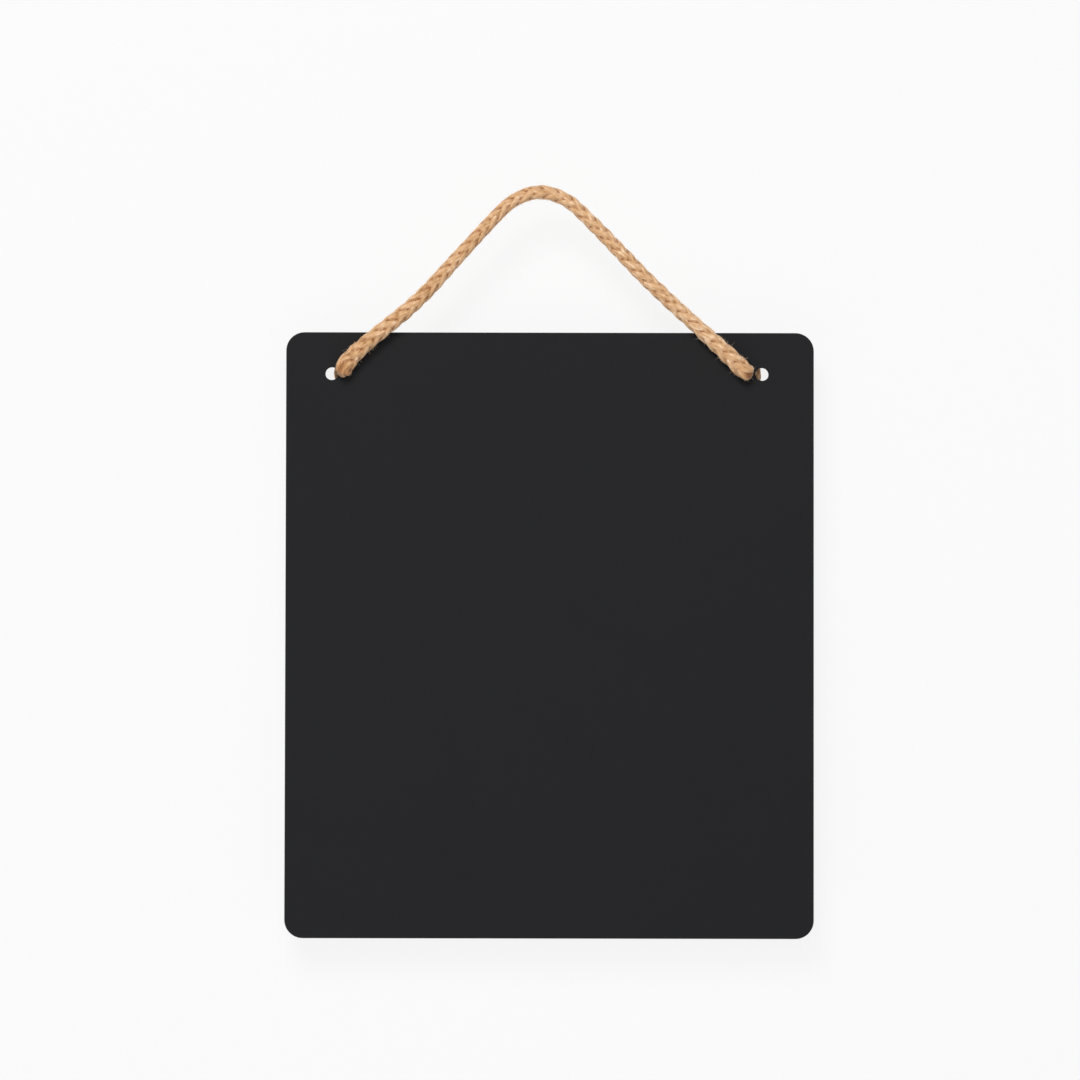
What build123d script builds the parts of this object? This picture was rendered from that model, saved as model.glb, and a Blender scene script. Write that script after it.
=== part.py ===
from build123d import *

import math
import os

# A wall chalkboard that hangs on a loop of thick braided rope.
# Millimetres, +Z up, the writing face looks towards -Y.
# The origin lies under the top of the loop, where a hook carries it.

# Board, centred below the loop's top and a little to its right
board_width = 280.0
board_height = 321.0
corner_radius = 9.7
core_thickness = 3.4
sheet_thickness = 0.8
edge_bevel = 0.5
rim_bevel = 0.25
board_side_offset = 5.8
board_drop = 70.3

# Holes: a rope hole near each top corner, and a larger open hole just outside it
rope_hole_radius = 3.25
rope_hole_inset = 33.7
rope_hole_drop = 19.1
open_hole_radius = 3.5
hole_web = 1.63
open_hole_lower_by = 2.8
hole_shift = -1.6

# Rope, and its tight fold in front of each hole, a little swollen and flattened
rope_diameter = 8.0
elbow_swell = 0.2
elbow_flat = 1.0
elbow_arm = 6.0
face_gap = 0.3
hole_fit = 0.15

# Knots behind the board, one at each end of the rope
knot_width = 19.0
knot_height = 22.0
knot_seat = 1.5
knot_clearance = 0.4
wrap_thickness = 7.4
wrap_tilt = 35.0
wrap_rise = 3.0
tail_length = 24.0
tail_sway = 2.5
tail_gap = 0.3

# The rope's bends take this share of the shorter run beside each corner
bend_share = 0.45

# Corners of the loop's route between its two elbows, as (x, z) in the plane y = 0
loop_corners = [
    (-89.7, -74.2),
    (-64.7, -54.5),
    (-14.5, 0.6),
    (0.0, 4.9),
    (14.8, 1.5),
    (60.4, -45.4),
    (95.8, -78.1),
]

# Places that follow from the sizes
rope_radius = rope_diameter / 2
elbow_radius = rope_radius + elbow_swell
face_y = elbow_radius + face_gap
core_y = face_y + sheet_thickness
rear_y = core_y + core_thickness
back_y = rear_y + sheet_thickness
board_z = -board_drop - board_height / 2
rope_hole_z = -board_drop - rope_hole_drop
open_hole_z = rope_hole_z - open_hole_lower_by
holes_x = board_side_offset + hole_shift
twin_pitch = rope_hole_radius + hole_web + open_hole_radius
open_hole_outset = math.sqrt(twin_pitch**2 - open_hole_lower_by**2)
knot_lean = knot_width / 2 + knot_clearance + open_hole_radius - open_hole_outset
SIDES = {"left": -1, "right": 1}
BACKWARD = (0, 1, 0)


def rope_hole_x(side):
    """Where the rope goes through the board on this side."""
    return holes_x + side * (board_width / 2 - rope_hole_inset)


def open_hole_x(side):
    """The open hole's place, further out than the rope's hole."""
    return rope_hole_x(side) + side * open_hole_outset


def front_plane(y):
    """A plane parallel to the writing face, with the drawing's x and y along X and Z."""
    return Plane(origin=(0, y, 0), x_dir=(1, 0, 0), z_dir=(0, -1, 0))


def layer(front, thickness):
    """One layer of the board, with its rounded outline and its four holes."""
    outline = Pos(board_side_offset, board_z) * RectangleRounded(board_width, board_height, corner_radius)
    for side in SIDES.values():
        outline -= Pos(rope_hole_x(side), rope_hole_z) * Circle(rope_hole_radius)
        outline -= Pos(open_hole_x(side), open_hole_z) * Circle(open_hole_radius)
    return extrude(front_plane(front) * outline, amount=thickness, dir=BACKWARD)


def bevelled(sheet, which):
    """The sheet with its outline and hole rims eased on its outer face."""
    outer = sheet.faces().sort_by(Axis.Y)[which]
    sheet = chamfer(outer.outer_wire().edges(), edge_bevel)
    outer = sheet.faces().sort_by(Axis.Y)[which]
    rims = [edge for wire in outer.inner_wires() for edge in wire.edges()]
    return chamfer(rims, rim_bevel)


def elbow_centre(side):
    """The middle of the fold in front of a rope hole, on the hinge line."""
    return Vector(rope_hole_x(side), 0, rope_hole_z)


def rope_route():
    """The loop's whole centre line, from the left elbow to the right one."""
    corners = [Vector(x, 0, z) for x, z in loop_corners]
    return [elbow_centre(SIDES["left"])] + corners + [elbow_centre(SIDES["right"])]


def arm_direction(side):
    """The way the rope leaves its elbow on this side."""
    route = rope_route()
    start, after = (route[0], route[1]) if side < 0 else (route[-1], route[-2])
    return (after - start).normalized()


def arm_end(side):
    """Where the elbow's straight arm meets the free loop."""
    return elbow_centre(side) + arm_direction(side) * elbow_arm


def turned(outline, axis, cut):
    """A solid turned from the half of an outline that lies on one side of the axis."""
    return revolve(outline - cut, axis)


def rope_elbow(side):
    """The rounded fold of the rope in front of its hole, with a short straight arm."""
    along = Plane(origin=elbow_centre(side), z_dir=arm_direction(side))
    slot = SlotCenterToCenter(elbow_flat, 2 * elbow_radius)
    below = Pos(0, -elbow_radius) * Rectangle(elbow_flat + 2 * elbow_radius, 2 * elbow_radius)
    fold = Pos(*elbow_centre(side)) * turned(slot, Axis.X, below)
    arm = extrude(along * Circle(rope_radius), amount=elbow_arm)
    return fold + arm


def bend_radii(points):
    """For each corner, the largest arc that its two runs allow."""
    radii = []
    for before, corner, after in zip(points, points[1:], points[2:]):
        inward, outward = corner - before, after - corner
        half_turn = math.radians(inward.get_angle(outward)) / 2
        shorter_run = min(inward.length, outward.length)
        radii.append(bend_share * shorter_run / math.tan(half_turn))
    return radii


def rope_tube(name, points, radius):
    """A round tube along straight runs joined by tangent arcs."""
    radii = bend_radii(points)
    path = FilletPolyline(*points, radius=radii)
    tube = sweep(Plane(origin=path @ 0, z_dir=path % 0) * Circle(radius), path=path)
    ratio = tube.volume / (math.pi * radius**2 * path.length)
    print(f"{name}: {path.length:.1f} long, volume over section x length {ratio:.4f}")
    print(f"  bend radii {[round(r, 1) for r in radii]}")
    return tube


def rope_loop():
    """The free stretch of the rope, from one elbow's arm to the other's."""
    points = [arm_end(SIDES["left"])] + rope_route()[1:-1] + [arm_end(SIDES["right"])]
    return rope_tube("rope_loop", points, rope_radius)


def knot_centre(side):
    """The knot sits on the back, leaning inward so that it clears the open hole."""
    depth = back_y + knot_width / 2 - knot_seat
    return Vector(rope_hole_x(side) - side * knot_lean, depth, rope_hole_z)


def knot_body(side):
    """The knot's tight middle: an upright lump with two turns of the rope round it."""
    wrap_radius = wrap_thickness / 2
    half_height = knot_height / 2
    core_radius = knot_width / 2 - wrap_radius / 2
    oval = Ellipse(core_radius, half_height)
    beside = Pos(-core_radius, 0) * Rectangle(2 * core_radius, 2 * half_height)
    lump = turned(Plane.XZ * oval, Axis.Z, Plane.XZ * beside)
    for rise, tilt in ((wrap_rise, wrap_tilt), (-wrap_rise, -wrap_tilt)):
        ring = Rot(0, side * tilt, 0) * Torus(knot_width / 2 - wrap_radius, wrap_radius)
        lump += Pos(0, 0, rise) * ring
    return Pos(*knot_centre(side)) * lump


def knot_tail(side):
    """The rope's short end, which hangs from the knot close to the back."""
    centre = knot_centre(side)
    tail_y = back_y + tail_gap + rope_radius
    low = centre.Z - knot_height / 2
    points = [
        centre,
        Vector(centre.X, tail_y, low),
        Vector(centre.X - side * tail_sway, tail_y, low - tail_length),
    ]
    return rope_tube("tail", points, rope_radius)


def stopper_knot(side):
    """The rope's end: through the hole, round into the knot, and out as a tail."""
    stub_radius = rope_hole_radius - hole_fit
    hole_axis = front_plane(face_y) * Pos(rope_hole_x(side), rope_hole_z)
    through = extrude(hole_axis * Circle(stub_radius), amount=back_y + rope_radius - face_y, dir=BACKWARD)
    turn = Pos(rope_hole_x(side), back_y + rope_radius, rope_hole_z) * Sphere(rope_radius)
    behind = knot_body(side) + turn + knot_tail(side)
    behind = split(behind, Plane.XZ.offset(-back_y), keep=Keep.BOTTOM)
    return behind + through


parts = {
    "core_board": layer(core_y, core_thickness),
    "front_writing_sheet": bevelled(layer(face_y, sheet_thickness), 0),
    "rear_sheet": bevelled(layer(rear_y, sheet_thickness), -1),
    "rope_loop": rope_loop(),
}
for name, side in SIDES.items():
    parts[f"{name}_rope_elbow"] = rope_elbow(side)
    parts[f"{name}_stopper_knot"] = stopper_knot(side)

os.makedirs("parts", exist_ok=True)
for name, shape in parts.items():
    export_step(shape, f"parts/{name}.step")

print("hinge through", elbow_centre(SIDES["left"]), "and", elbow_centre(SIDES["right"]))
print("open holes at", [round(open_hole_x(side), 3) for side in SIDES.values()], round(open_hole_z, 3))
print("board from", round(face_y, 3), "to", round(back_y, 3), "bottom", round(board_z - board_height / 2, 3))
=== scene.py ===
# %% [markdown]
# # A wall chalkboard on a loop of braided jute rope
#
# This lesson dresses a measured model for a picture. The board is thin, black and matt, with rounded corners
# and two small holes near the top. A thick tan rope makes the loop that it hangs on, goes through a hole at
# each side and ends in a knot behind the board. The sizes come from the measured model, so nothing here moves
# or resizes it. What this file adds is what a camera sees: strands, fibres, surfaces and light.

# %% Load the measured model
import math

import bpy
import numpy as np
from mathutils import Matrix, Vector


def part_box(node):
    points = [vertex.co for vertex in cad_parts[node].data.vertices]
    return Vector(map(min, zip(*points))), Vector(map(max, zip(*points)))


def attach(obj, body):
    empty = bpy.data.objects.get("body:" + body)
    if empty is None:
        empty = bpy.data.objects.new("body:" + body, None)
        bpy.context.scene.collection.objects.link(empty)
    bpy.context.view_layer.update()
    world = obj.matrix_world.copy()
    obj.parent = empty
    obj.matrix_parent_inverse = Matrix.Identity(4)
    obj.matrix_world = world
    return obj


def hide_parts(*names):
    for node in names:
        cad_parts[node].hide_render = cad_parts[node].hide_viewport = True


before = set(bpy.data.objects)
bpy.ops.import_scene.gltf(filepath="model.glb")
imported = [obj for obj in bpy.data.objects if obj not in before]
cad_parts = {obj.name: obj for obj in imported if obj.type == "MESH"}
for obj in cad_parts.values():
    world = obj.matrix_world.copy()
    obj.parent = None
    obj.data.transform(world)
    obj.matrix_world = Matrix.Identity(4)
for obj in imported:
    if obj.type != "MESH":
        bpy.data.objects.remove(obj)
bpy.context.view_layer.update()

MM = 0.001
board_low, board_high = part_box("front_writing_sheet")

# %% [markdown]
# ## The camera
#
# The picture is square and looks almost straight at the board. A long lens far away keeps the rope and the
# face, which lie at different depths, at almost the same scale. The board is a hair wider at the bottom of
# the picture than at its top, so the camera stands a little low and looks up by under two degrees. It is set
# from the width of wall that the picture takes in at the writing face.

# %% Camera
PICTURE_WIDTH = 572.45 * MM
PICTURE_MIDDLE = Vector((0.66 * MM, board_low.y, -180.47 * MM))
CAMERA_DISTANCE = 2.5
LOOKS_UP = math.radians(1.88)
LEANS = math.radians(0.11)

camera_data = bpy.data.cameras.new("camera")
camera_data.sensor_width = 36.0
camera_data.lens = camera_data.sensor_width * CAMERA_DISTANCE / PICTURE_WIDTH
camera = bpy.data.objects.new("camera", camera_data)
view_way = Vector((0, math.cos(LOOKS_UP), math.sin(LOOKS_UP)))
camera.location = PICTURE_MIDDLE - view_way * CAMERA_DISTANCE
turn = Matrix.Rotation(math.radians(90) + LOOKS_UP, 3, "X") @ Matrix.Rotation(LEANS, 3, "Z")
camera.rotation_euler = turn.to_euler()
bpy.context.collection.objects.link(camera)
bpy.context.scene.camera = camera
bpy.context.scene.view_settings.view_transform = "Standard"
print("lens", round(camera_data.lens, 1), "mm, camera at", [round(v, 4) for v in camera.location])

# %% [markdown]
# ## Short words for node trees
#
# Every material and every repeating shape below is a tree of nodes. Adding a node, filling its inputs and
# linking its output takes three lines each time, so one helper does all three. It takes the inputs in the
# order in which the node shows them, and gives back an output that the next call can use. The other helpers
# are its most common uses under shorter names.

# %% Node helpers
def put(tree, kind, *values, out=0, **settings):
    """Adds a node, fills the inputs that it shows, in order, and returns one of its shown outputs."""
    node = tree.nodes.new(kind)
    for name, value in settings.items():
        setattr(node, name, value)
    shown = [socket for socket in node.inputs if socket.enabled]
    for socket, value in zip(shown, values):
        if isinstance(value, bpy.types.NodeSocket):
            tree.links.new(value, socket)
        elif value is not None:
            socket.default_value = value
    if out is None:
        return node
    outputs = [socket for socket in node.outputs if socket.enabled]
    return outputs[out] if isinstance(out, int) else node.outputs[out]


def calc(tree, operation, *values):
    """One step of arithmetic."""
    return put(tree, "ShaderNodeMath", *values, operation=operation)


def times(tree, product, *factors):
    """Values multiplied, one after the other."""
    for factor in factors:
        product = calc(tree, "MULTIPLY", product, factor)
    return product


def vector(tree, operation, *values):
    """One step of vector arithmetic."""
    return put(tree, "ShaderNodeVectorMath", *values, operation=operation)


def noise(tree, place, scale, detail, roughness=0.5, dimensions="3D"):
    """Smooth noise between 0 and 1."""
    return put(tree, "ShaderNodeTexNoise", place, scale, detail, roughness, noise_dimensions=dimensions)


def mix(tree, factor, first, second, blend="MIX"):
    """Two colours mixed."""
    return put(tree, "ShaderNodeMix", factor, first, second, data_type="RGBA", blend_type=blend)


def spread(tree, value, low, high, to_low=0.0, to_high=1.0):
    """A value's range laid smoothly onto another one, and held at its ends."""
    return put(tree, "ShaderNodeMapRange", value, low, high, to_low, to_high,
               interpolation_type="SMOOTHSTEP")


def axes(tree, value):
    """A vector's X, Y and Z."""
    return put(tree, "ShaderNodeSeparateXYZ", value, out=None).outputs


print("node helpers ready")

# %% [markdown]
# A group is a tree that other trees can use. Its inputs are listed here by name with their defaults, and the
# kind of each socket follows from its default: a whole number, a size or a colour. Where there is no default,
# the name of the kind stands in its place.

# %% Group helper
SOCKET_KINDS = {int: "Int", float: "Float", tuple: "Color"}
SURFACE = {"Color": "Color", "Roughness": "Float", "Normal": "Vector"}


def new_group(name, tree_type, inputs, outputs):
    """A node group, its inputs by name, and a function that links what it puts out."""
    tree = bpy.data.node_groups.new(name, tree_type)
    for label, default in inputs.items():
        kind = default if isinstance(default, str) else SOCKET_KINDS[type(default)]
        socket = tree.interface.new_socket(label, in_out="INPUT", socket_type="NodeSocket" + kind)
        if kind != default:
            socket.default_value = default
    for label, kind in outputs.items():
        tree.interface.new_socket(label, in_out="OUTPUT", socket_type="NodeSocket" + kind)
    entry = tree.nodes.new("NodeGroupInput")
    leave = tree.nodes.new("NodeGroupOutput")

    def give(**results):
        for label, output in results.items():
            tree.links.new(output, leave.inputs[label])

    return tree, entry.outputs, give


print("groups ready")

# %% [markdown]
# ## The rope's route
#
# The rope is one line that bends. It leaves one hole, turns sharply up along the face, runs to the top, from
# which it hangs, and comes down the other side. The points are listed along the middle of the rope. A NURBS
# curve of order 3 passes smoothly inside them, as a stiff rope does, and the curve is read back as a fine line,
# because the strands need to know how far along the rope they are.

# %% The rope's line
ROPE_WIDTH = 8.0 * MM
LINE_STEPS = 24

LOOP_POINTS = [
    (-102.1, 3.9, -89.4),
    (-102.8, 2.0, -90.0),
    (-104.0, -0.2, -89.9),
    (-99.4, 0.0, -83.6),
    (-89.45, 0.0, -74.45),
    (-64.5, 0.0, -54.7),
    (-44.8, 0.0, -32.5),
    (-24.6, 0.0, -10.4),
    (-14.2, 0.0, 0.0),
    (0.0, 0.0, 5.1),
    (14.4, 0.0, 0.6),
    (25.2, 0.0, -9.4),
    (42.6, 0.0, -27.3),
    (60.0, 0.0, -45.7),
    (95.8, 0.0, -78.1),
    (105.0, 0.0, -87.0),
    (109.2, -0.2, -91.4),
    (110.1, 2.0, -90.7),
    (110.5, 3.9, -89.4),
]


def route_line(name, points):
    """The NURBS curve that points in millimetres steer, read back as a fine line in metres."""
    curve = bpy.data.curves.new(name, "CURVE")
    curve.dimensions = "3D"
    spline = curve.splines.new("NURBS")
    spline.points.add(len(points) - 1)
    for point, place in zip(spline.points, points):
        point.co = (*[value * MM for value in place], 1)
    spline.order_u = 3
    spline.use_endpoint_u = True
    spline.resolution_u = LINE_STEPS
    holder = bpy.data.objects.new(name, curve)
    line = bpy.data.meshes.new_from_object(holder)
    bpy.data.objects.remove(holder)
    bpy.data.curves.remove(curve)
    return line


def distances(places):
    """How far along a line each of its points lies."""
    steps = np.linalg.norm(np.diff(places, axis=0), axis=1)
    return np.concatenate([[0], np.cumsum(steps)])


def along(line):
    """The points of a line, and how far along it each one lies."""
    places = np.array([vertex.co for vertex in line.vertices])
    return places, distances(places)


loop_line = route_line("loop_line", LOOP_POINTS)
loop_places, loop_distance = along(loop_line)
LOOP_LENGTH = loop_distance[-1]
print("rope from hole to hole", round(LOOP_LENGTH, 4), "m in", len(loop_places), "points")

# %% [markdown]
# ### Where the rope is thick and thin
#
# A soft rope spreads where it folds and is drawn thinner where it carries its load over the top. The thickness
# is kept on the line as a share of the full one, so every strand follows it. At both ends it falls to nothing
# over the last fraction of a millimetre, which closes the end. The stations are millimetres from either hole.

# %% Thickness along the rope
FOLD_END = [(0.0, 0.02), (0.3, 0.66), (1.6, 1.05), (3.5, 1.21), (9.0, 1.22)]
LEFT_STRETCH = [(14.0, 1.16), (23.0, 1.08), (42.0, 1.06), (60.0, 1.02), (80.0, 0.97), (98.0, 0.92),
                (126.0, 0.90), (148.0, 0.97), (168.0, 0.93), (190.0, 0.97), (210.0, 1.0)]
RIGHT_STRETCH = [(14.0, 1.20), (22.0, 1.12), (32.0, 1.07), (41.0, 1.01)]


def set_thickness(line, stations):
    """Stores the rope's thickness along the line, as (distance from the start, share of the full one)."""
    _, distance = along(line)
    share = np.interp(distance, *zip(*stations))
    attribute = line.attributes.new("thickness", "FLOAT", "POINT")
    attribute.data.foreach_set("value", share.astype(np.float32))


from_left = [(distance * MM, share) for distance, share in FOLD_END + LEFT_STRETCH]
from_right = [(LOOP_LENGTH - distance * MM, share) for distance, share in FOLD_END + RIGHT_STRETCH]
set_thickness(loop_line, from_left + from_right[::-1])
print("rope", round(FOLD_END[-1][1] * ROPE_WIDTH / MM, 1), "mm across at its folds and",
      round(min(share for _, share in LEFT_STRETCH) * ROPE_WIDTH / MM, 1), "at its thinnest, near the top")

# %% [markdown]
# ## Eight strands that pass over and under
#
# The rope is a plait of eight strands: four wind one way, four wind the other, and each passes over two and
# under the next two. Strands drawn one by one would never meet so evenly, but the plait is a rule, so Geometry
# Nodes make it. For each strand the tree takes a grid, reads the rope's line at each row, turns the row round
# the line by the lay of the plait, and moves it in and out where strands cross. A ninth grid becomes the plain
# round core that such a plait is made on, so no light passes between the strands.

# %% Sizes of the plait
STRANDS_EACH_WAY = 4
LAY_LENGTH = 32.26 * MM
OVERS_IN_A_TURN = 2
STRAND_WIDTH = 3.8 * MM
STRAND_HEIGHT = 2.2 * MM
STRAND_DIVE = 0.18 * MM
STRAND_BEND = 90.0
CORE_RADIUS = 3.45 * MM
POINTS_ROUND_STRAND = 16
YARNS = 4
YARN_LAY = -32.0 * MM
print(2 * STRANDS_EACH_WAY, "strands, and a pattern that repeats every",
      round(LAY_LENGTH / STRANDS_EACH_WAY / MM, 2), "mm")

# %% [markdown]
# ### A numbered grid for each strand
#
# A tube is a grid whose rows close into rings, so a flat grid is enough to start from. It keeps its own map,
# which later says how far along and how far round each point lies. One grid stands on each of nine points, and
# takes that point's number before the copies become real. The first and last rows shrink to a point, which
# closes the tube.

# %% Strand grids
def store(tree, shape, label, value, kind="FLOAT", domain="POINT"):
    """Keeps a value on the shape under a name."""
    return put(tree, "GeometryNodeStoreNamedAttribute", shape, True, label, value,
               data_type=kind, domain=domain)


def kept(tree, label, kind="FLOAT"):
    """Reads a value that the shape keeps under a name."""
    return put(tree, "GeometryNodeInputNamedAttribute", label, data_type=kind)


def strand_grids(tree, wires):
    """The grids, and each point's distance along the line, its share round, and whether it ends a tube."""
    grid = put(tree, "GeometryNodeMeshGrid", 1.0, 1.0, wires["Rows"], wires["Points round"], out=None)
    sheet = store(tree, grid.outputs["Mesh"], "strand_map", grid.outputs["UV Map"], "FLOAT2", "CORNER")
    count = calc(tree, "MULTIPLY_ADD", wires["Strands each way"], 2.0, 1.0)
    copies = put(tree, "GeometryNodeInstanceOnPoints", put(tree, "GeometryNodePoints", count), None, sheet)
    copies = store(tree, copies, "strand", put(tree, "GeometryNodeInputIndex"), "INT", "INSTANCE")
    strands = put(tree, "GeometryNodeRealizeInstances", copies)

    grid_place = axes(tree, kept(tree, "strand_map", "FLOAT_VECTOR"))
    last_row = calc(tree, "SUBTRACT", wires["Rows"], 1.0)
    row = calc(tree, "ROUND", times(tree, grid_place["X"], last_row))
    line_at = put(tree, "ShaderNodeMapRange", row, 1.0, calc(tree, "SUBTRACT", last_row, 1.0),
                  wires["From"], wires["To"], clamp=True)
    is_end = calc(tree, "MAXIMUM", calc(tree, "LESS_THAN", row, 0.5),
                  calc(tree, "GREATER_THAN", row, calc(tree, "SUBTRACT", last_row, 0.5)))
    return strands, line_at, grid_place["Y"], is_end


print("strand grids are", POINTS_ROUND_STRAND, "points round")

# %% [markdown]
# ### Over and under
#
# The over and under follow one cosine of the strand's place round the rope: it repeats twice for each turn, and
# the strands that wind the other way follow its opposite. So one side of the rope shows strands that lean one
# way, and the next side shows the others. Turn, torsion and shift choose which side and which crossing face
# the camera. A little seeded noise keeps two crossings from being alike.

# %% Strand paths
NOISE_APART = 7.31


def strand_path(tree, wires, line_at, turn_per_metre):
    """A strand's number, its hand, its angle round the rope, its rise, and whether it is the core."""
    number = kept(tree, "strand", "INT")
    each_way = wires["Strands each way"]
    is_core = calc(tree, "GREATER_THAN", number, calc(tree, "MULTIPLY_ADD", each_way, 2.0, -0.5))
    other_way = calc(tree, "GREATER_THAN", number, calc(tree, "SUBTRACT", each_way, 0.5))
    hand = calc(tree, "MULTIPLY_ADD", other_way, -2.0, 1.0)
    wander_at = put(tree, "ShaderNodeCombineXYZ", times(tree, line_at, wires["Wander scale"]),
                    times(tree, number, NOISE_APART), wires["Seed"])
    wander = put(tree, "ShaderNodeTexNoise", wander_at, 1.0, 2.0, out="Color")
    wander = axes(tree, vector(tree, "MULTIPLY_ADD", wander, (2, 2, 2), (-1, -1, -1)))

    step = calc(tree, "DIVIDE", math.tau, each_way)
    spin = times(tree, calc(tree, "ADD", line_at, wires["Shift"]), turn_per_metre)
    angle = calc(tree, "MULTIPLY_ADD", hand, spin, times(tree, number, step))
    from_crossing = calc(tree, "SUBTRACT", angle, calc(tree, "DIVIDE", step, 4.0))
    crossing = calc(tree, "COSINE", times(tree, from_crossing, wires["Overs in a turn"]))
    angle = calc(tree, "MULTIPLY_ADD", line_at, wires["Torsion"], angle)
    angle = calc(tree, "MULTIPLY_ADD", wander["X"], wires["Sway"], calc(tree, "ADD", angle, wires["Turn"]))
    rise = times(tree, crossing, hand, wires["Dive"])
    rise = calc(tree, "MULTIPLY_ADD", wander["Y"], wires["Lift"], rise)
    return number, hand, angle, rise, is_core


print("each strand has", 2 * STRANDS_EACH_WAY, "crossings in a turn and comes up", OVERS_IN_A_TURN, "times")

# %% [markdown]
# ### The section of a strand
#
# A strand is a bundle of yarns, pressed into an oval that is bent round the rope. A cosine round the section
# raises the yarns a little. They twist as they run, with the opposite hand on the strands that wind the other
# way, as in a good plait, which lays the fibres of both hands almost along the rope and keeps it from curling.

# %% Strand section
def strand_section(tree, wires, line_at, round_share, size, hand, is_core):
    """How far to the side and how far up a point of the section lies, and how near a yarn's top."""
    round_angle = calc(tree, "MULTIPLY_ADD", round_share, math.tau, -math.pi / 2)
    yarn_turn = calc(tree, "DIVIDE", times(tree, line_at, math.tau), wires["Yarn lay"])
    yarn_angle = times(tree, calc(tree, "MULTIPLY_ADD", yarn_turn, hand, round_angle), wires["Yarns"])
    yarn_top = calc(tree, "COSINE", calc(tree, "ADD", yarn_angle, math.pi))
    size = times(tree, calc(tree, "MULTIPLY_ADD", yarn_top, wires["Yarn relief"], 1.0), size)

    def strand_or_core(strand_value, core_value):
        return put(tree, "ShaderNodeMix", is_core, strand_value, core_value, data_type="FLOAT")

    half_width = strand_or_core(times(tree, wires["Strand width"], 0.5), wires["Core radius"])
    half_height = strand_or_core(times(tree, wires["Strand height"], 0.5), wires["Core radius"])
    to_side = times(tree, calc(tree, "COSINE", round_angle), half_width, size)
    upward = calc(tree, "SINE", round_angle)
    rounder = calc(tree, "POWER", calc(tree, "ABSOLUTE", upward), strand_or_core(wires["Squarer"], 1.0))
    to_top = times(tree, calc(tree, "SIGN", upward), rounder, half_height, size)
    sag = times(tree, to_side, to_side, wires["Bend"], calc(tree, "SUBTRACT", 1.0, is_core))
    return to_side, calc(tree, "SUBTRACT", to_top, sag), yarn_top


print("strand section of", YARNS, "yarns")

# %% [markdown]
# ### The whole plait
#
# The tree puts the rows on the line, stands each section square to the way its strand runs, and keeps what the
# material reads: how deep a point lies in the rope, how near a yarn's top it is, and a map that runs along the
# strand. Where the rope lies on the board, a soft limit presses it flat.

# %% Braid tree
MAP_PER_METRE = 100.0
MAPS_APART = 1.37
PRESS_SOFTNESS = 0.6 * MM
WELD = 0.004 * MM


def pressed_place(tree, wires, middle, reach, thickness):
    """The point itself: no deeper from front to back where the rope is wide, and not inside the board."""
    flatter = calc(tree, "DIVIDE", 1.0, calc(tree, "MAXIMUM", thickness, 1.0))
    flatter = put(tree, "ShaderNodeCombineXYZ", 1.0, flatter, 1.0)
    place = axes(tree, vector(tree, "ADD", middle, vector(tree, "MULTIPLY", reach, flatter)))
    pressed = calc(tree, "SMOOTH_MIN", place["Y"], wires["Pressed at"], PRESS_SOFTNESS)
    return put(tree, "ShaderNodeCombineXYZ", place["X"], pressed, place["Z"])


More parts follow.
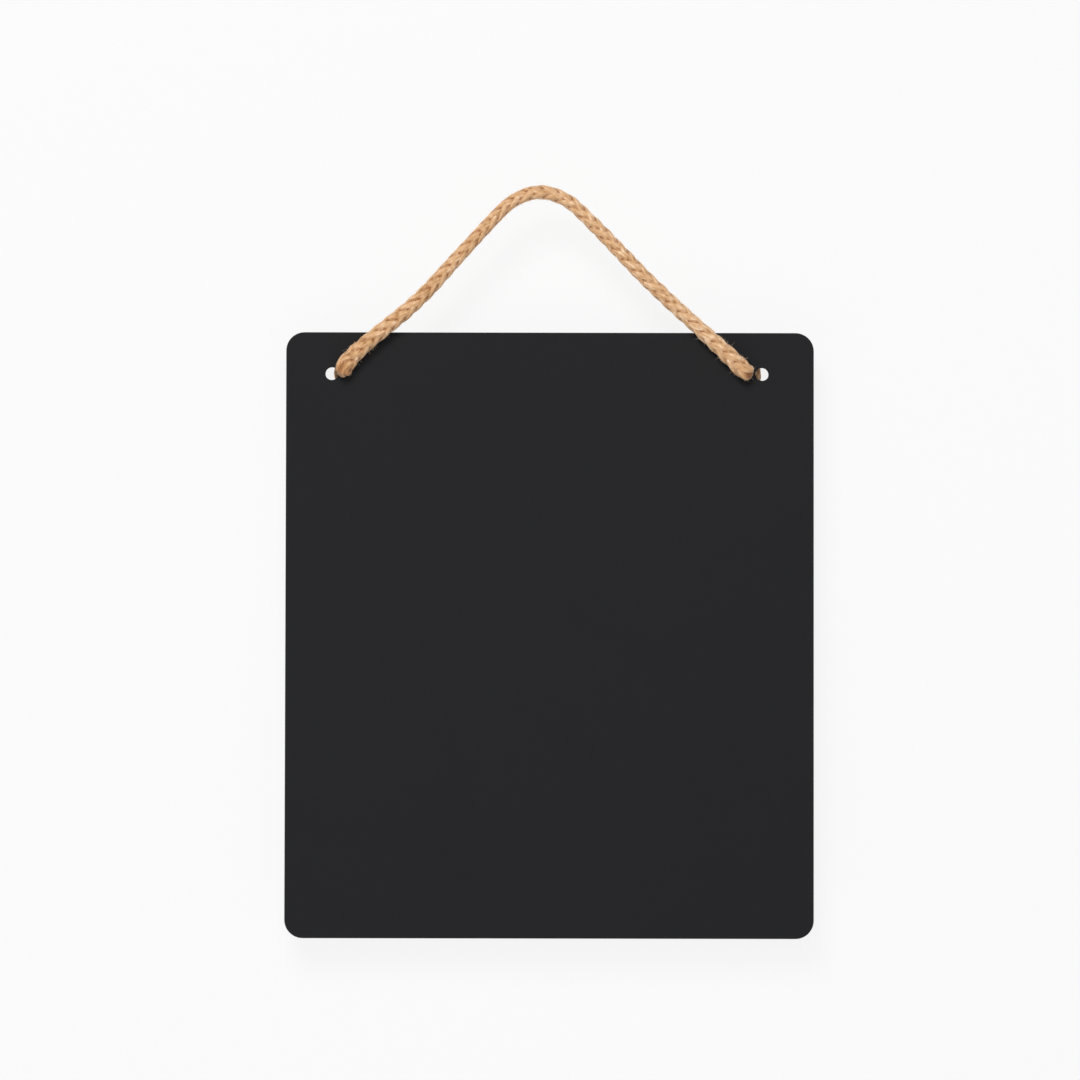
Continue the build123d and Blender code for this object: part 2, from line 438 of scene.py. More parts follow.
def braid_tree():
    """The tree that braids strands round the line that its object holds."""
    tree, wires, give = new_group("braided rope", "GeometryNodeTree", {
        "Geometry": "Geometry",
        "Strands each way": STRANDS_EACH_WAY, "Lay length": LAY_LENGTH, "Overs in a turn": OVERS_IN_A_TURN,
        "Rope radius": ROPE_WIDTH / 2, "Core radius": CORE_RADIUS,
        "Strand width": STRAND_WIDTH, "Strand height": STRAND_HEIGHT,
        "Dive": STRAND_DIVE, "Bend": STRAND_BEND, "Squarer": 0.66, "Pressed at": 1.0,
        "From": 0.0, "To": 1.0, "Rows": 100, "Points round": POINTS_ROUND_STRAND,
        "Shift": 0.0, "Turn": 0.0, "Torsion": 0.0,
        "Wander scale": 90.0, "Sway": 0.11, "Lift": 0.12 * MM, "Seed": 0.0,
        "Yarns": YARNS, "Yarn lay": YARN_LAY, "Yarn relief": 0.05,
        "Material": "Material",
    }, {"Geometry": "Geometry"})
    strands, line_at, round_share, is_end = strand_grids(tree, wires)

    # The rope's line at this row: its middle, its thickness, and the ways ahead, beside and above
    line = put(tree, "GeometryNodeSampleCurve", put(tree, "GeometryNodeMeshToCurve", wires["Geometry"]),
               kept(tree, "thickness"), line_at, mode="LENGTH", use_all_curves=True, out=None)
    middle, thickness = line.outputs["Position"], line.outputs["Value"]
    ahead, beside = line.outputs["Tangent"], line.outputs["Normal"]
    above = vector(tree, "CROSS_PRODUCT", ahead, beside)

    # Where the strand's own middle lies, and which way the strand runs there
    turn_per_metre = calc(tree, "DIVIDE", math.tau, wires["Lay length"])
    number, hand, angle, rise, is_core = strand_path(tree, wires, line_at, turn_per_metre)
    half_height = times(tree, wires["Strand height"], 0.5)
    mean = calc(tree, "SUBTRACT", wires["Rope radius"], calc(tree, "ADD", half_height, wires["Dive"]))
    away = times(tree, calc(tree, "ADD", mean, rise), thickness, calc(tree, "SUBTRACT", 1.0, is_core))
    outward = vector(tree, "ADD", vector(tree, "SCALE", beside, calc(tree, "COSINE", angle)),
                     vector(tree, "SCALE", above, calc(tree, "SINE", angle)))
    sideways = vector(tree, "CROSS_PRODUCT", ahead, outward)
    slope = times(tree, turn_per_metre, away, hand)
    strand_way = vector(tree, "NORMALIZE", vector(tree, "ADD", ahead, vector(tree, "SCALE", sideways, slope)))
    across = vector(tree, "CROSS_PRODUCT", strand_way, outward)

    # The point of the section, measured from the rope's middle
    size = times(tree, thickness, calc(tree, "SUBTRACT", 1.0, is_end))
    to_side, to_top, yarn_top = strand_section(tree, wires, line_at, round_share, size, hand, is_core)
    offset = vector(tree, "ADD", vector(tree, "SCALE", across, to_side),
                    vector(tree, "SCALE", outward, to_top))
    reach = vector(tree, "ADD", vector(tree, "SCALE", outward, away), offset)

    # What the material reads: depth and yarn tops, for painted shade in the gaps and on yarn flanks, and the
    # fibre map
    depth = calc(tree, "DIVIDE", vector(tree, "LENGTH", reach), times(tree, wires["Rope radius"], thickness))
    shaped = store(tree, strands, "height", depth)
    shaped = store(tree, shaped, "end", is_end)
    shaped = store(tree, shaped, "yarn", yarn_top)
    round_map = calc(tree, "SUBTRACT", times(tree, number, MAPS_APART), times(tree, round_share, hand))
    fibre_map = put(tree, "ShaderNodeCombineXYZ", times(tree, line_at, MAP_PER_METRE), round_map, 0.0)
    shaped = store(tree, shaped, "fibre_map", fibre_map, "FLOAT2", "CORNER")

    # Each point to its place, the grids closed into tubes, and all but their end faces smooth
    place = pressed_place(tree, wires, middle, reach, thickness)
    shaped = put(tree, "GeometryNodeSetPosition", shaped, True, place)
    closed = put(tree, "GeometryNodeMergeByDistance", shaped, True, WELD)
    side_faces = put(tree, "FunctionNodeCompare", kept(tree, "end"), 0.1,
                     data_type="FLOAT", operation="LESS_THAN")
    smooth = put(tree, "GeometryNodeSetShadeSmooth", closed, True, side_faces)
    solid = put(tree, "GeometryNodeRealizeInstances", smooth)
    give(Geometry=put(tree, "GeometryNodeSetMaterial", solid, True, wires["Material"]))
    return tree


braid = braid_tree()
print("braid tree with", len(braid.nodes), "nodes")

# %% [markdown]
# ### From tree to plain mesh
#
# A tree works as a modifier. Its sizes are filled in first, by each socket's own identifier, and only then does
# Blender work out the result. That result is copied to a plain mesh and the modifier goes, so what is left is
# an ordinary object that can be looked at, exported and made to move.

# %% Growing a piece
def grow(name, host_mesh, tree, **sizes):
    """Runs a tree on a mesh with its sizes, and returns the result as a plain object."""
    piece = bpy.data.objects.new(name, host_mesh)
    bpy.context.collection.objects.link(piece)
    modifier = piece.modifiers.new("nodes", "NODES")
    modifier.node_group = tree
    wanted = {label.replace("_", " "): value for label, value in sizes.items()}
    for item in tree.interface.items_tree:
        if item.in_out == "INPUT" and item.name in wanted:
            modifier[item.identifier] = wanted.pop(item.name)
    assert not wanted, f"{name}: no such sizes {list(wanted)}"
    shown = piece.evaluated_get(bpy.context.evaluated_depsgraph_get())
    plain = bpy.data.meshes.new_from_object(shown)
    piece.modifiers.remove(modifier)
    piece.data = plain
    plain.name = name
    plain.calc_loop_triangles()
    print(name, len(plain.vertices), "points,", len(plain.loop_triangles), "triangles")
    return piece


print("ready to grow", braid.name)

# %% [markdown]
# ## The free loop and its two folds
#
# The same tree makes three pieces from one line, so the strands run through from one to the next. The loop is
# what hangs, and the folds lie in front of the holes. Each piece is cut where the measured model cuts it, a
# short way up from the hole.

# %% Cuts between loop and folds
ROW_STEP = 0.62 * MM
FOLD_ARM = 6.0 * MM
HOLES = {"left": (-102.1, 0.0, -89.4), "right": (110.5, 0.0, -89.4)}
ARMS_TOWARD = {"left": (-89.7, 0.0, -74.2), "right": (95.8, 0.0, -78.1)}


def cut_at(side):
    """How far along the loop's line a fold's short arm ends."""
    hole, toward = Vector(HOLES[side]) * MM, Vector(ARMS_TOWARD[side]) * MM
    arm_end = hole + (toward - hole).normalized() * FOLD_ARM
    return float(loop_distance[np.linalg.norm(loop_places - np.array(arm_end), axis=1).argmin()])


def rope_piece(name, line, start, stop, material, **sizes):
    """The braid along one stretch of a line."""
    rows = int((stop - start) / ROW_STEP) + 3
    return grow(name, line.copy(), braid, From=start, To=stop, Rows=rows, Material=material, **sizes)


LEFT_CUT, RIGHT_CUT = cut_at("left"), cut_at("right")
print("loop from", round(LEFT_CUT, 4), "to", round(RIGHT_CUT, 4), "m along the rope")

# %% [markdown]
# ## Jute, as a shader
#
# Jute is a bundle of dull, flat fibres. Up close each yarn is streaked lengthwise, pale where the fibres lie
# flat and brown where light sinks between them. The strands carry a map that runs along them, so the streaks
# follow each strand over and under. The tree also stored how deep each point lies in the rope, and the colour
# takes painted shade from it: darker brown in the gaps between strands and on the flanks of the yarns. The
# loop, the knots and the loose fibres all use the effect, so it is one node group.

# %% Jute fibres as a node group
PALE_JUTE = (0.84, 0.61, 0.41, 1.0)
JUTE = (0.62, 0.37, 0.19, 1.0)
BROWN_JUTE = (0.35, 0.17, 0.06, 1.0)
# Painted shade: the brown multiplied into the gaps between strands and the flanks of yarns
GAP_SHADE_BROWN = (0.42, 0.24, 0.12, 1.0)
WHITE = (1.0, 1.0, 1.0, 1.0)
FINE_SHARE, TUFT_SHARE, BATCH_SHARE = 0.40, 0.42, 0.18
FINE_RELIEF, TUFT_RELIEF = 0.7, 0.5
BROWN_TONES, PALE_TONES = (0.32, 0.47), (0.49, 0.67)
PALER_PAST = 60.0 * MM


def jute_group():
    """Streaked fibre colour with painted shade in the gaps, roughness and relief."""
    tree, wires, give = new_group("jute fibres", "ShaderNodeTree", {
        "Map": "Vector", "Place": "Vector", "Depth": 1.0, "Yarn": 1.0,
        "Pale": PALE_JUTE, "Middle": JUTE, "Brown": BROWN_JUTE,
        "Yarn slant": 0.48, "Streaks along": 2.2, "Streaks across": 11.0,
        "Tufts along": 3.1, "Tufts across": 3.4, "Batches": 42.0, "Paler side": 0.04,
        "Gap shade": GAP_SHADE_BROWN, "Gap starts": 0.83, "Gap ends": 0.96, "Relief": 0.35,
    }, SURFACE)
    on_map = axes(tree, wires["Map"])
    run = on_map["X"]
    slanted = calc(tree, "MULTIPLY_ADD", run, wires["Yarn slant"], on_map["Y"])

    # Three sizes of noise: single fibres, tufts of them, and batches of darker and paler jute
    fine_at = put(tree, "ShaderNodeCombineXYZ", times(tree, run, wires["Streaks along"]),
                  times(tree, slanted, wires["Streaks across"]), 0.0)
    fine = noise(tree, fine_at, 1.0, 4.0, 0.62, dimensions="2D")
    tuft_at = put(tree, "ShaderNodeCombineXYZ", times(tree, run, wires["Tufts along"]),
                  times(tree, slanted, wires["Tufts across"]), 0.0)
    tuft = noise(tree, tuft_at, 1.0, 2.0, dimensions="2D")
    batch = noise(tree, wires["Place"], wires["Batches"], 2.0)
    tone = calc(tree, "MULTIPLY_ADD", fine, FINE_SHARE, times(tree, tuft, TUFT_SHARE))
    tone = calc(tree, "MULTIPLY_ADD", batch, BATCH_SHARE, tone)
    paler_side = spread(tree, axes(tree, wires["Place"])["X"], -PALER_PAST, PALER_PAST, -0.5, 0.5)
    tone = calc(tree, "MULTIPLY_ADD", paler_side, wires["Paler side"], tone)

    # The colour of the fibres, and painted shade: brown in the gaps, less on yarn tops than on their flanks
    colour = mix(tree, spread(tree, tone, *BROWN_TONES), wires["Brown"], wires["Middle"])
    colour = mix(tree, spread(tree, tone, *PALE_TONES), colour, wires["Pale"])
    open_share = spread(tree, wires["Depth"], wires["Gap starts"], wires["Gap ends"])
    open_share = times(tree, open_share, spread(tree, wires["Yarn"], -1.0, 0.1, 0.75, 1.0))
    shade = mix(tree, open_share, wires["Gap shade"], WHITE)
    height = calc(tree, "MULTIPLY_ADD", fine, FINE_RELIEF, times(tree, tuft, TUFT_RELIEF))
    give(Color=mix(tree, 1.0, colour, shade, blend="MULTIPLY"),
         Roughness=spread(tree, tone, 0.3, 0.7, 0.96, 0.78),
         Normal=put(tree, "ShaderNodeBump", wires["Relief"], 0.35 * MM, 0.1, height))
    return tree


jute_effect = jute_group()
print("jute effect with", len(jute_effect.nodes), "nodes")

# %% [markdown]
# ### Three jute materials
#
# Plain fibre has no shine of its own, but its down catches light at the edges, which is what sheen is for. It
# is tinted, because light that passes through down takes on its colour. At the folds the colour carries painted
# shade, browner towards the bottom of each fold. Loose fibres are single and lie in full light, so their
# material leaves out the painted gap shade and is paler.

# %% Material helpers
def place_group(tree, group, **values):
    """One use of a shader node group, with its own values, and its outputs by name."""
    node = tree.nodes.new("ShaderNodeGroup")
    node.node_tree = group
    for label, value in values.items():
        socket = node.inputs[label.replace("_", " ")]
        if isinstance(value, bpy.types.NodeSocket):
            tree.links.new(value, socket)
        else:
            socket.default_value = value
    return node.outputs


def own_place(tree):
    """Where on its object a point lies."""
    return put(tree, "ShaderNodeTexCoord", out="Object")


def material_on(name, feeds=None, **constants):
    """A Principled material: feeds gives outputs by socket name, constants are set on the shader itself."""
    material = bpy.data.materials.new(name)
    material.use_nodes = True
    shader = material.node_tree.nodes["Principled BSDF"]
    if feeds:
        for label, output in feeds(material.node_tree).items():
            material.node_tree.links.new(output, shader.inputs[label])
    for label, value in constants.items():
        shader.inputs[label.replace("_", " ")].default_value = value
    return material


print("material helpers ready")

# %% [markdown]
# A feed is a small function that adds nodes to a material and says which output goes to which socket of its
# shader. The jute with fold shade starts from the plain one's feed and only multiplies a brown of painted shade
# into its colour, strongest towards the bottom of each fold.

# %% Jute materials
# Painted shade: a brown multiplied into the jute, deepest at the bottom of each fold
FOLD_SHADE = (0.8, 0.66, 0.52, 1.0)
FOLD_SHADE_LOW, FOLD_SHADE_HIGH = -94.5 * MM, -88.5 * MM
FOLD_SHADE_MOST = 0.9
FOLD_SHADE_HIGHER_ON_LEFT = 0.03
DOWN = {"Specular_IOR_Level": 0.2, "Sheen_Weight": 0.5, "Sheen_Roughness": 0.5,
        "Sheen_Tint": (1.0, 0.83, 0.68, 1.0)}


def braided_feeds(tree):
    """Jute whose streaks and painted gap shade follow what the braid tree stored."""
    outputs = place_group(
        tree, jute_effect,
        Map=put(tree, "ShaderNodeUVMap", uv_map="fibre_map"),
        Place=own_place(tree),
        Depth=put(tree, "ShaderNodeAttribute", out="Fac", attribute_name="height"),
        Yarn=put(tree, "ShaderNodeAttribute", out="Fac", attribute_name="yarn"))
    return {"Base Color": outputs["Color"], "Roughness": outputs["Roughness"], "Normal": outputs["Normal"]}


def fold_shade_feeds(tree):
    """The same jute, with painted shade: browner towards the bottom of each fold."""
    feeds = braided_feeds(tree)
    place = axes(tree, own_place(tree))
    level = calc(tree, "MULTIPLY_ADD", place["X"], FOLD_SHADE_HIGHER_ON_LEFT, place["Z"])
    low = spread(tree, level, FOLD_SHADE_LOW, FOLD_SHADE_HIGH, FOLD_SHADE_MOST, 0.0)
    feeds["Base Color"] = mix(tree, low, feeds["Base Color"], FOLD_SHADE, blend="MULTIPLY")
    return feeds


def loose_feeds(tree):
    """Single fibres: paler, without the painted gap shade or relief."""
    place = own_place(tree)
    outputs = place_group(
        tree, jute_effect, Map=vector(tree, "SCALE", place, MAP_PER_METRE), Place=place, Depth=1.0,
        Pale=(0.92, 0.78, 0.6, 1), Middle=(0.82, 0.62, 0.41, 1), Brown=(0.6, 0.38, 0.2, 1),
        Streaks_across=4.0, Relief=0.0)
    return {"Base Color": outputs["Color"], "Roughness": outputs["Roughness"]}


jute = material_on("braided jute", braided_feeds, **DOWN)
fold_shaded_jute = material_on("jute with painted fold shade", fold_shade_feeds, **DOWN)
loose_jute = material_on("loose jute fibre", loose_feeds, Specular_IOR_Level=0.2, Sheen_Weight=0.2)
print("materials", [material.name for material in (jute, fold_shaded_jute, loose_jute)])

# %% [markdown]
# ### The three pieces
#
# Each piece starts at the row where the one before it stops, so no step shows between them. A rope is never
# hung quite free of twist, so the plait turns slowly along the loop: most of the strands that show lean one
# way on the left leg and the other way on the right. At the folds the rope is pressed against the board.

# %% Grow the loop and folds
PRESSED_OFF_FACE = 0.15 * MM

lie = {"Shift": -2.0 * MM, "Turn": 1.1, "Torsion": -6.4, "Pressed_at": board_low.y - PRESSED_OFF_FACE}
loop = rope_piece("rope_loop_braid", loop_line, LEFT_CUT, RIGHT_CUT, jute, **lie)
left_fold = rope_piece("left_fold_braid", loop_line, 0.0, LEFT_CUT, fold_shaded_jute, **lie)
right_fold = rope_piece("right_fold_braid", loop_line, RIGHT_CUT, LOOP_LENGTH, fold_shaded_jute, **lie)

# %% [markdown]
# ## The knots behind the board
#
# Each end of the rope is tied in an overhand knot that is too big for its hole. A tight knot is hard to draw
# point by point, so this one is tied loosely by a short formula and then pulled tight. At every step the rope
# gets a little shorter. Where two stretches come nearer than the rope is thick they push apart, the board and
# the wall hold it in, and it straightens slightly as stiff rope does. Nothing in it is random.

# %% Tie and tighten
BACK_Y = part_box("rear_sheet")[1].y
WALL_GAP_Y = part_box("left_stopper_knot")[1].y
KNOT_GAP = 6.8 * MM
NEIGHBOURS = 1.35 * KNOT_GAP
ROUNDS = 1500
SHORTENING_SHARE = 0.8
PUSH_APART = 0.25
EVEN_OUT = 0.45
STRAIGHTEN = 0.12
LENGTH_PASSES = 6
HELD = 4
TINY = 1e-9


def loose_overhand(size):
    """A loosely tied overhand knot about its own middle, from a short polynomial."""
    t = np.linspace(-2.15, 2.15, 90)
    return size * np.stack([t**3 - 3 * t, 0.15 * (t**5 - 10 * t), t**4 - 4 * t**2 + 1.0], axis=1)


def evenly(points, count):
    """The same line with its points at even steps."""
    distance = distances(points)
    at = np.linspace(0, distance[-1], count)
    return np.stack([np.interp(at, distance, points[:, axis]) for axis in range(3)], axis=1)


def pull_tight(points, goal_length, least_y, most_y):
    """Shortens the rope step by step. It can't pass through itself, the board or the wall."""
    count = len(points)
    first_length = np.linalg.norm(np.diff(points, axis=0), axis=1).sum()
    number = np.arange(count)
    ends = points[:HELD].copy(), points[-HELD:].copy()
    for turn in range(ROUNDS):
        share = min(1.0, turn / (SHORTENING_SHARE * ROUNDS))
        step = (first_length + (goal_length - first_length) * share) / (count - 1)
        wall = most_y[0] + (most_y[1] - most_y[0]) * share

        # Push apart what is too near, except along the rope itself
        apart = np.abs(number[:, None] - number[None]) * step > NEIGHBOURS
        between = points[:, None] - points[None]
        distance = np.linalg.norm(between, axis=2) + TINY
        short_by = np.where(apart & (distance < KNOT_GAP), KNOT_GAP - distance, 0.0)
        points = points + PUSH_APART * (between * (short_by / distance)[..., None]).sum(axis=1)

        # Bring the steps back to one length, with both ends held
        for _ in range(LENGTH_PASSES):
            edge = points[1:] - points[:-1]
            size = np.linalg.norm(edge, axis=1, keepdims=True) + TINY
            shift = EVEN_OUT * (size - step) / size * edge
            points[:-1] += shift
            points[1:] -= shift
            points[:HELD], points[-HELD:] = ends

        # Straighten a little, and keep between the board and the wall
        points[1:-1] += STRAIGHTEN * ((points[:-2] + points[2:]) / 2 - points[1:-1])
        points[HELD:, 1] = np.maximum(points[HELD:, 1], least_y)
        points[:, 1] = np.minimum(points[:, 1], wall)
        points[:HELD], points[-HELD:] = ends
    return points


print("back of the board at", round(BACK_Y, 4), "m, room behind it up to", round(WALL_GAP_Y, 4), "m")

# %% [markdown]
# ### Through the hole, round the knot, down the tail
#
# The loose knot is turned so that its two ends point at the hole and at the floor, and set beside the hole,
# leaning inward, which leaves the open hole free. Straight stretches lead into it and out of it. Once it is
# tight, its line grows strands from the same tree as the loop, squeezed where it fills the hole and cut
# straight at the tail.

# %% Knots and tails
KNOT_ROPE = 7.4 * MM
KNOT_LENGTH = 110.0 * MM
KNOT_LAY, KNOT_TURN = 26.0 * MM, 0.6
KNOT_POINTS = 150
KNOT_LEANS_IN = {"left": 4.8, "right": 3.3}
LOOSE_SIZE = 6.0
LOOSE_BEHIND, LOOSE_BELOW = 8.0, 2.0
START_IN_FRONT, START_BEHIND = 5.0, 3.7
TAIL_BEHIND, TAIL_STARTS, TAIL_DROP = 4.3, 24.0, 35.0
TAIL_INWARD, TAIL_SWAY = 1.0, 1.2
LEAD_POINTS = 8
PRESSED_ON_BACK = 0.95
FIRST_WALL_Y = 0.12


def tied_line(side):
    """The line of one rope end: through the hole, round the knot and down the tail."""
    hole_x, _, hole_z = HOLES[side]
    lean = KNOT_LEANS_IN[side]
    way = -1 if side == "left" else 1
    behind = BACK_Y / MM
    knot = loose_overhand(LOOSE_SIZE)
    knot = np.stack([-way * knot[:, 1], knot[:, 2].max() - knot[:, 2], -knot[:, 0]], axis=1)
    knot += np.array([hole_x - way * lean, behind + LOOSE_BEHIND, hole_z - LOOSE_BELOW])
    start = np.linspace([hole_x, behind - START_IN_FRONT, hole_z],
                        [hole_x, behind + START_BEHIND, hole_z], LEAD_POINTS)
    tail_x, tail_y = hole_x - way * (lean + TAIL_INWARD), behind + TAIL_BEHIND
    tail = np.linspace([tail_x, tail_y, hole_z - TAIL_STARTS],
                       [tail_x - way * TAIL_SWAY, tail_y, hole_z - TAIL_DROP], LEAD_POINTS)
    points = evenly(np.concatenate([start, knot, tail]) * MM, KNOT_POINTS)
    half = KNOT_ROPE / 2
    tight = pull_tight(points, KNOT_LENGTH, BACK_Y + PRESSED_ON_BACK * half,
                       (FIRST_WALL_Y, WALL_GAP_Y - half))
    line = route_line(side + "_knot_line", tight[::3] / MM)
    places, distance = along(line)
    low, high = places.min(axis=0) / MM, places.max(axis=0) / MM
    print(side, "knot", round(distance[-1], 4), "m of rope, line from", low.round(1), "to", high.round(1))
    return line, distance[-1]


def knotted_end(side):
    """The braid along one rope end: squeezed in the hole, drawn thin in the knot, full in the tail."""
    line, length = tied_line(side)
    in_knot = KNOT_ROPE / ROPE_WIDTH
    set_thickness(line, [
        (0.0, 0.70), (0.5 * MM, 0.76), (4.0 * MM, 0.77), (8.0 * MM, in_knot), (length - 30 * MM, in_knot),
        (length - 20 * MM, 1.0), (length - 2.0 * MM, 1.0), (length, 0.96)])
    return rope_piece(side + "_knot_braid", line, 0.0, length, jute, Turn=KNOT_TURN, Lay_length=KNOT_LAY)


left_knot = knotted_end("left")
right_knot = knotted_end("right")

# %% [markdown]
# ## Loose fibres
#
# Jute sheds. Short fibres stand off the strands all along the rope, and they soften its outline. They repeat,
# so Geometry Nodes scatter them: points spread over the rope's surface with a fixed seed, a thin bent curve on
# each, and a three-sided section that keeps them light. They can't leave as instances, so the tree makes them
# real.

# %% Fuzz tree
FIBRE_WIDTH = 0.1 * MM
FIBRE_LENGTH = 2.4 * MM
SHORTEST_SHARE = 0.25
THINNER_AT_TIP = 0.35
FIBRE_POINTS = 5
ROOT_DEPTH = 0.15 * MM
CURL, CURL_SCALE = 2.4, 700.0


def fuzz_tree():
    """Thin bent fibres scattered over the surface of the object that it runs on."""
    tree, wires, give = new_group("loose fibres", "GeometryNodeTree", {
        "Geometry": "Geometry", "Fibres": 1000, "Fibre length": FIBRE_LENGTH, "Fibre width": FIBRE_WIDTH,
        "Stand off": 0.45, "Seed": 0, "Material": "Material",
    }, {"Geometry": "Geometry"})
    seed = wires["Seed"]

    # Roots over the surface, each with the way and the length that its fibre reaches
    area = put(tree, "GeometryNodeAttributeStatistic", wires["Geometry"], True,
               put(tree, "GeometryNodeInputMeshFaceArea"), domain="FACE", out="Sum")
    density = calc(tree, "DIVIDE", wires["Fibres"], area)
    scatter = put(tree, "GeometryNodeDistributePointsOnFaces", wires["Geometry"], True, density, seed,
                  out=None)
    normal = scatter.outputs["Normal"]
    lean = put(tree, "FunctionNodeRandomValue", (-1, -1, -1), (1, 1, 1), None, seed,
               data_type="FLOAT_VECTOR")
    grow_way = vector(tree, "ADD", vector(tree, "SCALE", normal, wires["Stand off"]), lean)
    length = put(tree, "FunctionNodeRandomValue", SHORTEST_SHARE, 1.0, None, calc(tree, "ADD", seed, 1),
                 data_type="FLOAT")
    reach = vector(tree, "SCALE", vector(tree, "NORMALIZE", grow_way),
                   times(tree, times(tree, length, length), wires["Fibre length"]))
    roots = store(tree, scatter.outputs["Points"], "reach", reach, "FLOAT_VECTOR")
    roots = store(tree, roots, "rooted_on", normal, "FLOAT_VECTOR")

    # A short stalk on each root, bent along its reach
    stalk = put(tree, "GeometryNodeCurvePrimitiveLine", (0, 0, 0), (0, 0, 1))
    stalk = put(tree, "GeometryNodeResampleCurve", stalk, True, FIBRE_POINTS)
    stalk = store(tree, stalk, "share", put(tree, "GeometryNodeSplineParameter", out="Factor"))
    fibres = put(tree, "GeometryNodeInstanceOnPoints", roots, True, stalk)
    fibres = put(tree, "GeometryNodeRealizeInstances", fibres)
    share, reach = kept(tree, "share"), kept(tree, "reach", "FLOAT_VECTOR")
    root = vector(tree, "SUBTRACT", put(tree, "GeometryNodeInputPosition"),
                  put(tree, "ShaderNodeCombineXYZ", 0.0, 0.0, share))
    bend = times(tree, share, share, vector(tree, "LENGTH", reach))
    curl = put(tree, "ShaderNodeTexNoise", root, CURL_SCALE, 0.0, out="Color")
    curl = vector(tree, "SCALE", vector(tree, "SUBTRACT", curl, (0.5, 0.5, 0.5)), times(tree, bend, CURL))
    sunk = vector(tree, "SCALE", kept(tree, "rooted_on", "FLOAT_VECTOR"), -ROOT_DEPTH)
    place = vector(tree, "ADD", vector(tree, "ADD", root, sunk),
                   vector(tree, "ADD", vector(tree, "SCALE", reach, share), curl))
    fibres = put(tree, "GeometryNodeSetPosition", fibres, True, place)

    # A three-sided section that thins toward the tip
    section = put(tree, "GeometryNodeCurvePrimitiveCircle", 3, mode="RADIUS")
    section_size = times(tree, wires["Fibre width"], calc(tree, "MULTIPLY_ADD", share, -THINNER_AT_TIP, 0.5))
    solid = put(tree, "GeometryNodeCurveToMesh", fibres, section, section_size, True)
    solid = put(tree, "GeometryNodeRealizeInstances", solid)
    give(Geometry=put(tree, "GeometryNodeSetMaterial", solid, True, wires["Material"]))
    return tree


fuzz = fuzz_tree()
print("fuzz tree with", len(fuzz.nodes), "nodes")

# %% [markdown]
# ### A fuzz for each stretch
#
# Each stretch of rope gets fibres of its own, so they move with it. The first number is how many it has: most
# on the long loop, fewer on the knots, and few on the folds, where the board wears them off. The second is
# the seed that places them.

# %% Scatter the fibres
def fuzz_on(piece, name, fibres, seed):
    """The loose fibres of one stretch of rope."""
    return grow(name, piece.data.copy(), fuzz, Fibres=fibres, Seed=seed, Material=loose_jute)


loop_fuzz = fuzz_on(loop, "rope_loop_fibres", 7000, 3)
fold_fuzz = [fuzz_on(left_fold, "left_fold_fibres", 300, 5),
             fuzz_on(right_fold, "right_fold_fibres", 300, 6)]
knot_fuzz = [fuzz_on(left_knot, "left_knot_fibres", 900, 7),
             fuzz_on(right_knot, "right_knot_fibres", 900, 8)]

# %% [markdown]
# ## The board's black surfaces
#
# The writing face is a matt black sheet with the faint cloudy haze of wiped chalk. The back is the same sheet,
# unwritten, and a little rubbed where it leans on a wall. The core is dyed fibreboard whose sawn edge shows
# all round. One group makes the cloudy matt black, and another finds how near a point lies to the outline, for
# the wear at the rim. Both read Object coordinates, because the sheets are flat and never bend.

# %% Matt black as node groups
FACE_CENTRE = (board_low + board_high) / 2
HALF_SIZE = (board_high - board_low) / 2
CORNER = 9.7 * MM


def matt_group():
    """Cloudy matt black: colour, roughness and a fine tooth that holds chalk."""
    tree, wires, give = new_group("matt black sheet", "ShaderNodeTree", {
        "Place": "Vector", "Black": (0.0121, 0.0122, 0.0134, 1), "Haze colour": (0.034, 0.034, 0.036, 1),
        "Haze": 0.12, "Cloud size": 14.0, "Wipe angle": 0.5, "Tooth": 0.12, "Tooth scale": 2600.0,
        "Rough low": 0.72, "Rough high": 0.9,
    }, SURFACE)
    cloud = noise(tree, wires["Place"], wires["Cloud size"], 5.0, 0.58)
    wiped = put(tree, "ShaderNodeVectorRotate", wires["Place"], (0, 0, 0), (0, 1, 0), wires["Wipe angle"],
                rotation_type="AXIS_ANGLE")
    wipe = noise(tree, vector(tree, "MULTIPLY", wiped, (9.0, 20.0, 120.0)), 1.0, 3.0)
    grit = noise(tree, wires["Place"], wires["Tooth scale"], 2.0, 0.6)
    haze = times(tree, spread(tree, cloud, 0.38, 0.66), spread(tree, wipe, 0.3, 0.7, 0.45, 1.0))
    haze = calc(tree, "MULTIPLY_ADD", spread(tree, grit, 0.5, 0.75), 0.3, haze)
    give(Color=mix(tree, times(tree, haze, wires["Haze"]), wires["Black"], wires["Haze colour"]),
         Roughness=spread(tree, haze, 0.0, 1.2, wires["Rough low"], wires["Rough high"]),
         Normal=put(tree, "ShaderNodeBump", wires["Tooth"], 0.05 * MM, 0.1, grit))
    return tree


